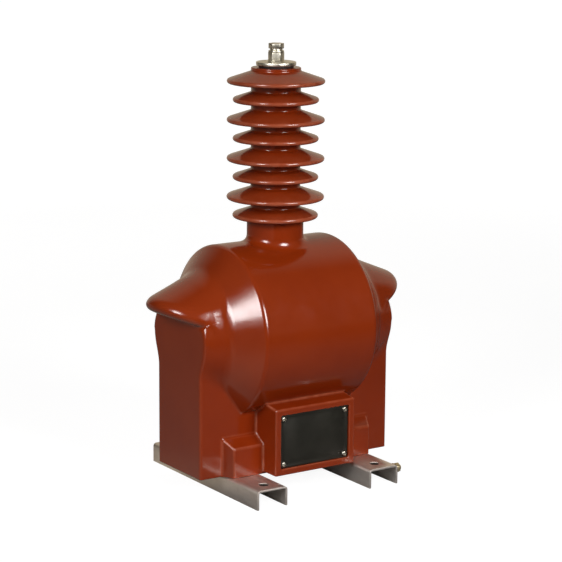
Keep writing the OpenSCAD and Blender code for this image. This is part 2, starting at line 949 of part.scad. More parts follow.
core_half_left();
core_half_right();
core_strap();
strap_clip();
winding_tube();
secondary_winding();
residual_winding();
barrier_tube();
primary_winding();
primary_lead();
primary_insert();
secondary_leads();
secondary_studs();
mounting_inserts();
cover_inserts();
cast_body();
secondary_washers();
secondary_nuts();
cable_grommet();
cover_gasket();
terminal_cover();
cover_screws();
terminal_gasket();
terminal_disc();
terminal_post();
terminal_washer();
terminal_spring_washer();
terminal_bolt();
left_channel();
right_channel();
channel_washers();
channel_spring_washers();
channel_bolts();
earth_stud();
earth_washer();
earth_spring_washer();
earth_nut();
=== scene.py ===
import math

import bmesh
import bpy
import numpy as np
from mathutils import Matrix, Vector


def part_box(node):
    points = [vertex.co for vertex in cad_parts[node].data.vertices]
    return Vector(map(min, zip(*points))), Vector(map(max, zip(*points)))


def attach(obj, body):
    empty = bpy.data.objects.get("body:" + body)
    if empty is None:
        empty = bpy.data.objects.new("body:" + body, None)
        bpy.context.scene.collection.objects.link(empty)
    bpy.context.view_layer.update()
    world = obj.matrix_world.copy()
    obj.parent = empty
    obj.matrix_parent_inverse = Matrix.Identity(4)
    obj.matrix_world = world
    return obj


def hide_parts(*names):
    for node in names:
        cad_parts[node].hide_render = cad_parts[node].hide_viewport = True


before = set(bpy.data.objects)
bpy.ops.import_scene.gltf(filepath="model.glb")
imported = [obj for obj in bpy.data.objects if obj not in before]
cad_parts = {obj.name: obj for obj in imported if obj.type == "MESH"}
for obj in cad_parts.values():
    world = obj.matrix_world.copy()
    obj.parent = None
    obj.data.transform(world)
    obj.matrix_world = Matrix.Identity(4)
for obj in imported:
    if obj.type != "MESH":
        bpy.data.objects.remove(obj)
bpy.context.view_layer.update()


# Core and coils: a wound strip core in two halves, held by a strap and clip, with two
# low-voltage windings and the stepped high-voltage winding on board tubes round its leg.
# They are set in the mould first and end up sealed in the resin, so only their finish is given.
CORE_GREY = (0.22, 0.23, 0.25, 1)
CORE_LIGHT = (0.30, 0.31, 0.33, 1)
WIRE_DARK = (0.36, 0.12, 0.04, 1)
WIRE_LIGHT = (0.58, 0.25, 0.10, 1)
BOARD_DARK = (0.50, 0.36, 0.19, 1)
BOARD_LIGHT = (0.66, 0.51, 0.30, 1)


def add_node(tree, kind, inputs=None, **settings):
    """A new node with its settings, and with each input linked or set."""
    node = tree.nodes.new(kind)
    for key, value in settings.items():
        setattr(node, key, value)
    for key, value in (inputs or {}).items():
        if isinstance(value, bpy.types.NodeSocket):
            tree.links.new(value, node.inputs[key])
        else:
            node.inputs[key].default_value = value
    return node


def start_finish(name, metallic=0.0, specular=0.5):
    """A new material: its node tree, its shader and the coordinates of the piece."""
    material = bpy.data.materials.new(name)
    material.use_nodes = True
    tree = material.node_tree
    shader = tree.nodes["Principled BSDF"]
    shader.inputs["Metallic"].default_value = metallic
    shader.inputs["Specular IOR Level"].default_value = specular
    place = add_node(tree, "ShaderNodeTexCoord").outputs["Object"]
    return material, tree, shader, place


def cloud(tree, place, scale, detail=4.0, stretch=(1, 1, 1), rough=0.55):
    """Soft uneven noise, 0 to 1, drawn out along the axes with a small stretch."""
    spread = add_node(tree, "ShaderNodeMapping", {"Vector": place, "Scale": stretch})
    return add_node(
        tree, "ShaderNodeTexNoise",
        {"Vector": spread.outputs["Vector"], "Scale": scale, "Detail": detail, "Roughness": rough},
    ).outputs["Fac"]


def between(tree, amount, low, high, start=0.3, end=0.7):
    """A number that goes from low to high as amount goes from start to end."""
    return add_node(
        tree, "ShaderNodeMapRange",
        {"Value": amount, "From Min": start, "From Max": end, "To Min": low, "To Max": high},
    ).outputs["Result"]


def two_tone(tree, amount, first, second):
    """A colour that goes from the first to the second as amount goes from 0 to 1."""
    first_socket, second_socket, result_socket = 6, 7, 2
    inputs = {"Factor": amount, first_socket: first, second_socket: second}
    return add_node(tree, "ShaderNodeMix", inputs, data_type="RGBA").outputs[result_socket]


def coat(tree, shader, colour, roughness):
    """Gives a shader its colour and its roughness."""
    tree.links.new(colour, shader.inputs["Base Color"])
    tree.links.new(roughness, shader.inputs["Roughness"])


def relief(tree, shader, height, depth):
    """Fine bumps, depth metres deep."""
    bump = add_node(tree, "ShaderNodeBump", {"Height": height, "Distance": depth})
    tree.links.new(bump.outputs["Normal"], shader.inputs["Normal"])


def wound_finish(name, first, second, metallic, roughness, pitch, stretch):
    """A finish with fine lines, as of wire, strip or pressed fibre."""
    material, tree, shader, place = start_finish(name, metallic)
    lines = cloud(tree, place, pitch, detail=3.0, stretch=stretch)
    colour = two_tone(tree, between(tree, lines, 0, 1), first, second)
    uneven = 0.08
    coat(tree, shader, colour, between(tree, lines, roughness - uneven, roughness + uneven))
    relief(tree, shader, lines, depth=0.0003)
    return material


def dress(material, *nodes):
    """Gives CAD pieces that keep their shape a finish."""
    for name in nodes:
        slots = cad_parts[name].data.materials
        slots.clear()
        slots.append(material)


core_steel = wound_finish(
    "wound_core_strip", CORE_GREY, CORE_LIGHT, metallic=0.8, roughness=0.45, pitch=300, stretch=(0.1, 1, 1),
)
wire = wound_finish(
    "enamelled_wire", WIRE_DARK, WIRE_LIGHT, metallic=0.7, roughness=0.35, pitch=400, stretch=(1, 0.1, 0.1),
)
board = wound_finish(
    "pressed_board", BOARD_DARK, BOARD_LIGHT, metallic=0.0, roughness=0.75, pitch=90, stretch=(1, 1, 0.3),
)
dress(core_steel, "core_half_left", "core_half_right")
dress(wire, "secondary_winding", "residual_winding", "primary_winding", "primary_lead", "secondary_leads")
dress(board, "winding_tube", "barrier_tube")


# Strap, clip, inserts and studs: a plated steel band, and turned pieces of plated steel and brass,
# that hold the core and give the casting its threads. They are cast in, and only the inserts and
# studs have a free end.
ZINC_DARK = (0.54, 0.53, 0.50, 1)
ZINC_LIGHT = (0.76, 0.745, 0.70, 1)
BRASS_DARK = (0.60, 0.47, 0.25, 1)
BRASS_LIGHT = (0.86, 0.73, 0.47, 1)


def plated_finish(name, first, second, roughness):
    """Plated or bare turned metal: cloudy colour, faint tool lines and small dull spots."""
    material, tree, shader, place = start_finish(name, metallic=1.0)
    patches = cloud(tree, place, scale=120, detail=4.0)
    lines = cloud(tree, place, scale=900, detail=2.0, stretch=(0.15, 0.15, 1))
    colour = two_tone(tree, between(tree, patches, 0, 1), first, second)
    shine, wear = 0.07, 0.1
    coat(tree, shader, colour, between(tree, patches, roughness - shine, roughness + wear))
    relief(tree, shader, lines, depth=0.00006)
    return material


zinc = plated_finish("zinc_plating", ZINC_DARK, ZINC_LIGHT, roughness=0.42)
brass = plated_finish("bare_brass", BRASS_DARK, BRASS_LIGHT, roughness=0.36)
dress(zinc, "core_strap", "strap_clip", "mounting_inserts")
dress(brass, "primary_insert", "secondary_studs", "cover_inserts")


# Cast body: filled epoxy resin poured round the core and coils in one metal mould. Its barrel runs
# into the box below, the hoods and the terminal box with rounded corners, so that it doesn't crack.
# Flash was trimmed off its lower edges, which leaves paler lines there. The paler lines are partly painted
# highlight: inner corners round the terminal box and bosses are painted paler, and upward-facing edges
# are painted paler still, where more light falls.
MM = 0.001


def corners(node):
    """Lowest and highest corner of a CAD node, in millimetres."""
    return [np.array(corner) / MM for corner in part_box(node)]


body_low, body_high = corners("cast_body")
box_bottom = body_low[2]
barrel_r = body_high[1]
lip_x = body_high[0]
bushing_top = body_high[2]
barrel_z = box_bottom + 197.5
barrel_half, cone_x, cone_r = 93.0, 128.0, 84.0
end_x, head_half, box_half = 162.0, 69.0, 57.5
neck_r, neck_top = 40.7, barrel_z + barrel_r + 36
hood_under, lip_top, hood_r, roof_r = barrel_z + 24.5, barrel_z + 55, 71.0, 86.0
roof_slope, under_tilt, hood_edge = math.radians(22), math.radians(20), 11.5
foot_x, foot_y, foot_top, foot_inner = 125.5, 76.5, box_bottom + 55, 34.0
foot_fall, foot_draft = 11.5, 8.0
term_half, term_front, term_low, term_top = 68.0, 108.0, box_bottom + 3, box_bottom + 100
term_slope = math.radians(8)
recess_half, recess_low, recess_high, recess_y = 58.5, 40.5, 118.5, -100.0
room_half, room_low, room_high, room_y = 46.5, 52.5, 106.5, -74.0
cable_y, cable_r = -87.0, 10.0
band_edge, drum_fillet, waist_fillet, head_fillet, head_lap = 3.2, 4.0, 9.0, 4.0, 3.0
end_edge_low, end_edge_gain, end_edge_reach = 4.0, 11.0, 26.0
lip_fillet, roof_fillet, cheek_fillet = 2.5, 5.0, 8.5
lip_margin, lip_run, cheek_top, cheek_run = 3.0, 14.0, hood_under + 16, 10.0
foot_edge, foot_root_edge, boss_fillet, neck_fillet, neck_lap = 2.2, 1.5, 2.6, 11.0, 2.0
term_side_edge, term_roof_edge, term_low_edge = 2.2, 3.0, 2.0
recess_corner, room_corner, recess_lip, cable_lap = 2.5, 3.0, 1.2, 4.0
settle_rounds, settle_reach, least_slope = 3, 0.05, 0.2
normal_reach, least_normal, bend_reach = 0.2, 1e-9, 1.2


def joined(a, b, fillet):
    """Two shapes as one, with a rounded inner corner."""
    lap = np.maximum(fillet - np.abs(a - b), 0) / fillet
    return np.minimum(a, b) - lap * lap * fillet / 4


def shared(a, b, edge):
    """What two shapes have in common, with a rounded outer edge."""
    return -joined(-a, -b, edge)


def block(x, y, z, low, high, edge):
    """Distance from a block with rounded edges."""
    gaps = []
    for value, start, end in zip((x, y, z), low, high):
        gaps.append(np.abs(value - (start + end) / 2) - (end - start) / 2 + edge)
    outside = np.sqrt(sum(np.maximum(gap, 0) ** 2 for gap in gaps))
    inside = np.minimum(np.maximum(np.maximum(gaps[0], gaps[1]), gaps[2]), 0)
    return outside + inside - edge


def slant(a, b, a1, b1, a2, b2):
    """Distance beyond the line from (a1, b1) to (a2, b2); the shape lies on its right."""
    length = math.hypot(a2 - a1, b2 - b1)
    return ((a - a1) * -(b2 - b1) + (b - b1) * (a2 - a1)) / length


def barrel(x, y, z):
    """The drum with its conical ends, which run into the box below and the walls under the hoods."""
    out = np.abs(x)
    r = np.sqrt(y ** 2 + (z - barrel_z) ** 2)
    drum = shared(r - barrel_r, slant(out, r, barrel_half, barrel_r, cone_x, cone_r), band_edge)
    drum = np.maximum(drum, out - (cone_x + end_x) / 2)
    tail = np.maximum(slant(out, r, cone_x, cone_r, end_x, head_half), r - (barrel_r + cone_r) / 2)
    lower = np.maximum(np.abs(y) - box_half, z - barrel_z)
    head = np.maximum(np.abs(y) - head_half, np.maximum(barrel_z - z, z - hood_under - head_lap))
    near_hood = np.clip((z - hood_under + end_edge_reach) / end_edge_reach, 0, 1) ** 2
    ends = joined(joined(tail, lower, waist_fillet), head, head_fillet)
    ends = shared(ends, out - end_x, end_edge_low + end_edge_gain * near_hood)
    return joined(drum, np.maximum(ends, box_bottom - z), drum_fillet)


def hood(x, y, z):
    """The two hoods, round seen from above and arched seen from the end."""
    out = np.abs(x)
    plan = np.sqrt((out - lip_x + hood_r) ** 2 + y ** 2) - hood_r
    high = (z - lip_top) * math.cos(roof_slope) + (out - lip_x) * math.sin(roof_slope) + roof_r
    roof = np.sqrt(y ** 2 + np.maximum(high, 0) ** 2) - roof_r
    under = (hood_under - z) * math.cos(under_tilt) + (out - end_x) * math.sin(under_tilt)
    return np.maximum(shared(shared(plan, roof, hood_edge), under, hood_edge), barrel_half - out)


def foot(x, y, z):
    """The four foot bosses, narrower and lower towards their outer face."""
    out, deep = np.abs(x), np.abs(y)
    flank = slant(deep, out, box_half, foot_x, foot_y, foot_x - foot_draft)
    top = slant(deep, z, box_half, foot_top, foot_y, foot_top - foot_fall)
    shape = shared(shared(deep - foot_y, flank, foot_edge), np.maximum(top, z - foot_top), foot_edge)
    return shared(shape, np.maximum(foot_inner - out, box_bottom - z), foot_root_edge)


def terminal_box(x, y, z):
    """The block of the terminal box, under its sloping roof."""
    roof = (z - term_top) * math.cos(term_slope) - (y + term_front) * math.sin(term_slope)
    shape = shared(np.abs(x) - term_half, -term_front - y, term_side_edge)
    return shared(shared(shape, roof, term_roof_edge), np.maximum(term_low - z, y), term_low_edge)


def casting(x, y, z):
    """The whole casting below the sheds, with the terminal box hollowed out."""
    neck_half = neck_top + neck_lap - barrel_z
    neck = np.maximum(np.sqrt(x ** 2 + y ** 2) - neck_r, np.abs(z - barrel_z) - neck_half)
    inward = np.clip((end_x - lip_margin - np.abs(x)) / lip_run, 0, 1)
    cheek = np.clip((cheek_top - z) / cheek_run, 0, 1)
    inner_fillet = roof_fillet - lip_fillet + (cheek_fillet - roof_fillet) * cheek
    shape = joined(barrel(x, y, z), hood(x, y, z), lip_fillet + inner_fillet * inward)
    shape = joined(shape, foot(x, y, z), boss_fillet)
    shape = joined(shape, terminal_box(x, y, z), boss_fillet)
    shape = joined(shape, neck, neck_fillet)
    open_y = -2 * term_front
    recess_ends = (-recess_half, open_y, recess_low), (recess_half, recess_y, recess_high)
    room_ends = (-room_half, open_y, room_low), (room_half, room_y, room_high)
    recess = block(x, y, z, *recess_ends, recess_corner)
    room = block(x, y, z, *room_ends, room_corner)
    cable = np.maximum(np.sqrt(x ** 2 + (y - cable_y) ** 2) - cable_r, z - room_low - cable_lap)
    shape = shared(shape, -recess, recess_lip)
    return np.maximum(np.maximum(shape, -room), -cable)


def graded(low, high, coarse, fine, bands):
    """Steps along one axis: fine inside the bands, coarse between them."""
    steps = [low]
    while steps[-1] < high:
        close = any(start <= steps[-1] < end for start, end in bands)
        steps.append(steps[-1] + (fine if close else coarse))
    return np.array(steps)


def slope_of(field, points, reach):
    """Slope of the field at the points, measured over a reach to either side."""
    steps = reach * np.eye(3)
    rises = [field(*(points + step).T) - field(*(points - step).T) for step in steps]
    return np.stack(rises, 1) / (2 * reach)


def bend_of(field, points, reach):
    """How sharply the surface bends: above zero on outer edges, below it in corners."""
    steps = reach * np.eye(3)
    around = sum(field(*(points + step).T) + field(*(points - step).T) for step in steps)
    return (around - 2 * len(steps) * field(*points.T)) / reach ** 2


def skin(field, xs, ys, zs):
    """Closed mesh of quads where the field is zero, with its normals and its bend."""
    depth = field(xs[:, None, None], ys[None, :, None], zs[None, None, :])
    solid = depth < 0
    count = np.zeros(tuple(n - 1 for n in depth.shape), np.int8)
    ends = [(slice(None, -1), slice(1, None))] * 3
    offsets = [(i, j, k) for i in (0, 1) for j in (0, 1) for k in (0, 1)]
    for i, j, k in offsets:
        count += solid[ends[0][i], ends[1][j], ends[2][k]]
    cells = np.argwhere((count > 0) & (count < 8))
    number = np.full(count.shape, -1, np.int64)
    number[tuple(cells.T)] = np.arange(len(cells))
    total, hits = np.zeros((len(cells), 3)), np.zeros((len(cells), 1))
    for first in offsets:
        for axis in range(3):
            if first[axis]:
                continue
            second = list(first)
            second[axis] = 1
            a, b = cells + first, cells + second
            da, db = depth[tuple(a.T)], depth[tuple(b.T)]
            cross = (da < 0) != (db < 0)
            share = np.where(cross, da / np.where(cross, da - db, 1), 0)[:, None]
            pa = np.stack([xs[a[:, 0]], ys[a[:, 1]], zs[a[:, 2]]], 1)
            pb = np.stack([xs[b[:, 0]], ys[b[:, 1]], zs[b[:, 2]]], 1)
            total += np.where(cross[:, None], pa + share * (pb - pa), 0)
            hits += cross[:, None]
    points = total / hits
    for _ in range(settle_rounds):
        slope = slope_of(field, points, settle_reach)
        steep = np.maximum((slope ** 2).sum(1), least_slope)
        points -= slope * (field(*points.T) / steep)[:, None]
    faces = []
    for axis in range(3):
        near = [slice(None)] * 3
        far = [slice(None)] * 3
        near[axis], far[axis] = slice(None, -1), slice(1, None)
        change = np.argwhere(solid[tuple(near)] != solid[tuple(far)])
        outward = solid[tuple(near)][tuple(change.T)]
        u, v = np.eye(3, dtype=int)[(axis + 1) % 3], np.eye(3, dtype=int)[(axis + 2) % 3]
        ring = [number[tuple((change - shift).T)] for shift in (u + v, v, 0 * u, u)]
        quad = np.stack(ring, 1)
        faces.append(np.where(outward[:, None], quad, quad[:, ::-1]))
    slope = slope_of(field, points, normal_reach)
    outward = slope / np.maximum(np.linalg.norm(slope, axis=1), least_normal)[:, None]
    return points, np.concatenate(faces), outward, bend_of(field, points, bend_reach)


def reckon(tree, operation, first, second=0.0):
    """The result of one Math node."""
    return add_node(tree, "ShaderNodeMath", {0: first, 1: second}, operation=operation).outputs[0]


def new_piece(name, mesh, material):
    """An object at the origin that shows the mesh in one finish."""
    piece = bpy.data.objects.new(name, mesh)
    bpy.context.scene.collection.objects.link(piece)
    mesh.materials.clear()
    mesh.materials.append(material)
    return piece


RESIN_DEEP = (0.208, 0.0208, 0.0022, 1)
RESIN_WARM = (0.243, 0.0266, 0.0032, 1)
# The paler colour of trimmed edges, also used as painted highlight in corners, on upward edges and shed
# rims.
RESIN_TRIMMED_AND_SHEEN = (0.58, 0.185, 0.100, 1)
resin, tree, shader, place = start_finish("casting_resin", specular=0.55)
drift = cloud(tree, place, scale=9, detail=3.0)
colour = two_tone(tree, between(tree, drift, 0, 1), RESIN_DEEP, RESIN_WARM)
# Paler edges read from the mesh: trimmed flash, with painted highlight in corners, on upward edges and
# rims.
edge = add_node(tree, "ShaderNodeAttribute", attribute_name="trimmed_edge_and_sheen").outputs["Fac"]
uneven = between(tree, cloud(tree, place, scale=70, detail=3.0), low=0.30, high=0.80)
colour = two_tone(tree, reckon(tree, "MULTIPLY", edge, uneven), colour, RESIN_TRIMMED_AND_SHEEN)
gloss = cloud(tree, place, scale=55, detail=4.0)
coat(tree, shader, colour, between(tree, gloss, low=0.09, high=0.19))
relief(tree, shader, cloud(tree, place, scale=260, detail=2.0), depth=0.00004)

fine, coarse_x, coarse_yz = 1.7, 3.2, 3.4
grid_x, grid_y, grid_low, grid_high = 212, 128, box_bottom - 3, neck_top + 8
bands_x = [(52, 72), (88, 98), (112, 132), (154, 210)]
bands_y = [(-111, -96), (-80, -52), (52, 80)]
bands_z = [(25, 44), (70, 86), (116, 132), (246, 300), (340, 366)]
xs = graded(-grid_x, grid_x, coarse_x, fine, [(-b, -a) for a, b in bands_x] + bands_x)
ys = graded(-grid_y, grid_y, coarse_yz, fine, bands_y)
zs = graded(grid_low, grid_high, coarse_yz, fine, bands_z)
points, faces, outward, bend = skin(casting, xs, ys, zs)
mesh = bpy.data.meshes.new("cast_body_shell")
mesh.from_pydata((points * MM).tolist(), [], faces.tolist())
mesh.update()
mesh.shade_smooth()
mesh.normals_split_custom_set_from_vertices(outward.tolist())
# Paler lower edges: trimmed flash on outer edges, painted highlight in inner corners, and painted light
# that makes upward-facing edges paler; half as strong on the terminal box front and the end faces.
flash_sheen_from, flash_sheen_range, flash_sheen_top = 0.14, 0.25, barrel_z - 30
corner_sheen_share, edge_share, least_share, face_share = 0.55, 0.3, 0.2, 0.5
front_y, outer_x = 4 - term_front, end_x - 8
flash_and_sheen = np.clip((np.abs(bend) - flash_sheen_from) / flash_sheen_range, 0, 1) * (points[:, 2] < flash_sheen_top)
flash_and_sheen *= np.where(bend < 0, corner_sheen_share, np.clip(edge_share + outward[:, 2], least_share, 1))
on_face = (points[:, 1] < front_y) | (np.abs(points[:, 0]) > outer_x)
flash_and_sheen *= np.where(on_face, face_share, 1)
mesh.attributes.new("trimmed_edge_and_sheen", "FLOAT", "POINT").data.foreach_set("value", flash_and_sheen)
cast_shell = new_piece("cast_body_shell", mesh, resin)
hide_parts("cast_body")
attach(cast_shell, "root")


# Bushing: the upper end of the same casting, a slim trunk with four large and four small
# sheds in turn. Each shed slopes down to a round rim, so that rain drips off clear of the trunk.
trunk_r, large_r, small_r = 35.6, 70.0, 61.5
shed_pairs, shed_pitch, small_drop = 4, 55.3, 26.7
first_shed = bushing_top - 19.4
rim_r, root_r, cap_r = 3.4, 3.0, 1.2
shed_slope, under_slope = math.radians(19), math.radians(4)
pitch_break, axis_gap, rim_sheen_share = 37.5, 0.01, 0.5
seam_gap, cap_gap = 0.00001, 0.00002
SHED_SIDES, PAIR_STEPS, CAP_STEPS = 128, 8, 6


def rounded_line(stops, steps):
    """A line through stops (r, z, corner radius), with each corner as an arc."""
    line = []
    for n, (r, z, radius) in enumerate(stops):
        if not radius:
            line.append((r, z))
            continue
        here = Vector((r, z))
        to_last = (Vector(stops[n - 1][:2]) - here).normalized()
        to_next = (Vector(stops[n + 1][:2]) - here).normalized()
        half = to_last.angle(to_next) / 2
        middle = here + (to_last + to_next).normalized() * (radius / math.sin(half))
        start = here + to_last * (radius / math.tan(half)) - middle
        sweep = start.angle_signed(here + to_next * (radius / math.tan(half)) - middle)
        for s in range(steps + 1):
            line.append(tuple(middle + Matrix.Rotation(-sweep * s / steps, 2) @ start))
    return line


def shed_stops(reach, z):
    """Top root, tip and lower root of a shed whose rim is centred at height z."""
    rim_x = reach - rim_r
    top = z + rim_r / math.cos(shed_slope) + rim_x * math.tan(shed_slope)
    under = z - rim_r / math.cos(under_slope) + rim_x * math.tan(under_slope)
    tip = (top - under) / (math.tan(shed_slope) - math.tan(under_slope))
    return [
        (trunk_r, top - trunk_r * math.tan(shed_slope), root_r),
        (tip, top - tip * math.tan(shed_slope), rim_r),
        (trunk_r, under - trunk_r * math.tan(under_slope), root_r),
    ]


def section_curve(name, line):
    """A half section, radius along X and height along Z, as a curve for turning."""
    curve = bpy.data.curves.new(name, "CURVE")
    curve.dimensions = "3D"
    spline = curve.splines.new("POLY")
    spline.points.add(len(line) - 1)
    for point, (r, z) in zip(spline.points, line):
        point.co = (r * MM, 0, z * MM, 1)
    section = bpy.data.objects.new(name, curve)
    bpy.context.scene.collection.objects.link(section)
    return section


def geometry_tree(name, inputs):
    """A new geometry tree with named inputs and one output, and its input sockets."""
    tree = bpy.data.node_groups.new(name, "GeometryNodeTree")
    for label, kind in inputs.items():
        tree.interface.new_socket(label, in_out="INPUT", socket_type="NodeSocket" + kind)
    tree.interface.new_socket("Geometry", in_out="OUTPUT", socket_type="NodeSocketGeometry")
    return tree, add_node(tree, "NodeGroupInput").outputs


def made_by(tree, kind, inputs):
    """What a new node gives from its first output."""
    return add_node(tree, kind, inputs).outputs[0]


def turning_tree():
    """Turns a half section about the Z axis and repeats it downwards."""
    tree, given = geometry_tree("turned_sheds", {
        "Section": "Object", "Sides": "Int", "Pairs": "Int", "Pitch": "Float", "Finish": "Material",
    })
    section = add_node(tree, "GeometryNodeObjectInfo", {"Object": given["Section"]}).outputs["Geometry"]
    count = add_node(tree, "GeometryNodeAttributeDomainSize", {"Geometry": section}, component="CURVE")
    rows = count.outputs["Point Count"]
    columns = reckon(tree, "ADD", given["Sides"], 1.0)
    sheet = add_node(tree, "GeometryNodeMeshGrid", {
        "Size X": 1.0, "Size Y": 1.0, "Vertices X": columns, "Vertices Y": rows,
    }).outputs
    split = add_node(tree, "ShaderNodeSeparateXYZ", {0: sheet["UV Map"]}).outputs
    row = reckon(tree, "MULTIPLY", split["Y"], reckon(tree, "SUBTRACT", rows, 1.0))
    turn = reckon(tree, "MULTIPLY", split["X"], 2 * math.pi)
    stop = add_node(
        tree, "GeometryNodeSampleIndex", {"Geometry": section, "Index": reckon(tree, "ROUND", row)},
        data_type="FLOAT_VECTOR", domain="POINT",
    )
    spot = add_node(tree, "GeometryNodeInputPosition").outputs["Position"]
    tree.links.new(spot, stop.inputs["Value"])
    part = add_node(tree, "ShaderNodeSeparateXYZ", {0: stop.outputs["Value"]}).outputs
    x = reckon(tree, "MULTIPLY", reckon(tree, "COSINE", turn), part["X"])
    y = reckon(tree, "MULTIPLY", reckon(tree, "SINE", turn), part["X"])
    spun = made_by(tree, "ShaderNodeCombineXYZ", {"X": x, "Y": y, "Z": part["Z"]})
    ring = made_by(tree, "GeometryNodeSetPosition", {"Geometry": sheet["Mesh"], "Position": spun})
    step = made_by(tree, "ShaderNodeCombineXYZ", {"Z": reckon(tree, "MULTIPLY", given["Pitch"], -1.0)})
    stack = made_by(tree, "GeometryNodeMeshLine", {"Count": given["Pairs"], "Offset": step})
    copies = made_by(tree, "GeometryNodeInstanceOnPoints", {"Points": stack, "Instance": ring})
    whole = made_by(tree, "GeometryNodeRealizeInstances", {"Geometry": copies})
    whole = made_by(tree, "GeometryNodeMergeByDistance", {"Geometry": whole, "Distance": seam_gap})
    whole = made_by(tree, "GeometryNodeSetShadeSmooth", {"Geometry": whole})
    whole = made_by(tree, "GeometryNodeSetMaterial", {"Geometry": whole, "Material": given["Finish"]})
    add_node(tree, "NodeGroupOutput", {"Geometry": whole})
    return tree


def grown(name, tree, values, helpers):
    """The plain mesh that a geometry tree makes with these inputs."""
    carrier = bpy.data.objects.new(name, bpy.data.meshes.new(name))
    bpy.context.scene.collection.objects.link(carrier)
    modifier = carrier.modifiers.new("build", "NODES")
    modifier.node_group = tree
    for item in tree.interface.items_tree:
        if item.in_out == "INPUT" and item.name in values:
            modifier[item.identifier] = values[item.name]
    bpy.context.view_layer.update()
    graph = bpy.context.evaluated_depsgraph_get()
    mesh = bpy.data.meshes.new_from_object(carrier.evaluated_get(graph))
    bpy.data.objects.remove(carrier)
    for helper in helpers:
        bpy.data.objects.remove(helper)
    return mesh


pair_top = first_shed + shed_pitch - pitch_break
pair_stops = [(trunk_r, pair_top, 0)]
pair_stops += shed_stops(large_r, first_shed)
pair_stops += shed_stops(small_r, first_shed - small_drop)
pair_stops += [(trunk_r, first_shed - pitch_break, 0)]
pair_section = section_curve("shed_pair_section", rounded_line(pair_stops, PAIR_STEPS))
turned = turning_tree()
sheds = grown("bushing_sheds", turned, {
    "Section": pair_section, "Sides": SHED_SIDES, "Pairs": shed_pairs, "Pitch": shed_pitch * MM,
    "Finish": resin,
}, [pair_section])
cap_stops = [(axis_gap, bushing_top, 0), (trunk_r, bushing_top, cap_r), (trunk_r, pair_top, 0)]
cap_section = section_curve("bushing_cap_section", rounded_line(cap_stops, CAP_STEPS))
top_cap = grown("bushing_cap", turned, {
    "Section": cap_section, "Sides": SHED_SIDES, "Pairs": 1, "Pitch": 0.0, "Finish": resin,
}, [cap_section])
work = bmesh.new()
work.from_mesh(sheds)
work.from_mesh(top_cap)
bmesh.ops.remove_doubles(work, verts=work.verts, dist=cap_gap)
bmesh.ops.holes_fill(work, edges=[e for e in work.edges if e.is_boundary], sides=SHED_SIDES)
bmesh.ops.recalc_face_normals(work, faces=work.faces)
work.to_mesh(sheds)
work.free()
sheds.shade_smooth()
# The shed rims are painted paler all round: a painted highlight along each rim, in the same attribute.
spots = np.zeros(3 * len(sheds.vertices))
sheds.vertices.foreach_get("co", spots)
spots = spots.reshape(-1, 3) / MM
below = np.mod(first_shed - spots[:, 2] + rim_r, shed_pitch)
reach = np.where(np.abs(below - small_drop - rim_r) < 2 * rim_r, small_r, large_r)
rim_sheen = np.clip((np.hypot(spots[:, 0], spots[:, 1]) - reach + rim_r) / rim_r, 0, 1)
sheds.attributes.new("trimmed_edge_and_sheen", "FLOAT", "POINT").data.foreach_set("value", rim_sheen_share * rim_sheen)
bushing = new_piece("bushing_sheds", sheds, resin)
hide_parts("cast_body")
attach(bushing, "root")


# Secondary terminals and cable grommet: brass studs with washers and nuts in the terminal room,
# and a moulded rubber grommet pressed into the hole below them.
RUBBER_DARK = (0.010, 0.010, 0.010, 1)
RUBBER_GREY = (0.022, 0.022, 0.021, 1)
FLAT_ANGLE, SHARP_ANGLE, SHADE_ANGLE = math.radians(0.4), math.radians(32), math.radians(40)
MERGE_GAP = 0.000002
rubber, tree, shader, place = start_finish("black_rubber", specular=0.35)
bloom = cloud(tree, place, scale=70, detail=5.0)
colour = two_tone(tree, between(tree, bloom, 0, 1), RUBBER_DARK, RUBBER_GREY)
coat(tree, shader, colour, between(tree, bloom, low=0.55, high=0.75))
relief(tree, shader, cloud(tree, place, scale=1500, detail=2.0), depth=0.00008)
dress(brass, "secondary_washers", "secondary_nuts")


def eased(node, material, width):
    """A copy of a CAD piece with its sharp edges broken by width millimetres."""
    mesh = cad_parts[node].data.copy()
    work = bmesh.new()
    work.from_mesh(mesh)
    bmesh.ops.remove_doubles(work, verts=work.verts, dist=MERGE_GAP)
    bmesh.ops.dissolve_limit(work, angle_limit=FLAT_ANGLE, verts=work.verts, edges=work.edges)
    sharp = [e for e in work.edges if len(e.link_faces) == 2 and e.calc_face_angle() > SHARP_ANGLE]
    bmesh.ops.bevel(
        work, geom=sharp, offset=width * MM, segments=2, profile=0.5, affect="EDGES", clamp_overlap=True,
    )
    bmesh.ops.triangulate(work, faces=[f for f in work.faces if len(f.verts) > 4])
    work.to_mesh(mesh)
    work.free()
    mesh.shade_smooth()
    mesh.set_sharp_from_angle(angle=SHADE_ANGLE)
    piece = new_piece(node + "_piece", mesh, material)
    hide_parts(node)
    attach(piece, "root")
    return piece


eased("cable_grommet", rubber, width=0.5)


# Terminal cover: a flat black plate on a rubber gasket, let into the front of the terminal box.
# It is cut from sheet and left bare, with a half-gloss coat.
COVER_BLACK = (0.012, 0.011, 0.008, 1)
COVER_WORN = (0.020, 0.018, 0.013, 1)
cover_coat, tree, shader, place = start_finish("cover_coat", specular=0.4)
haze = cloud(tree, place, scale=28, detail=5.0)
colour = two_tone(tree, between(tree, haze, 0, 1), COVER_BLACK, COVER_WORN)
coat(tree, shader, colour, between(tree, haze, low=0.26, high=0.42))
relief(tree, shader, cloud(tree, place, scale=700, detail=2.0), depth=0.00003)
eased("cover_gasket", rubber, width=0.2)
eased("terminal_cover", cover_coat, width=0.5)


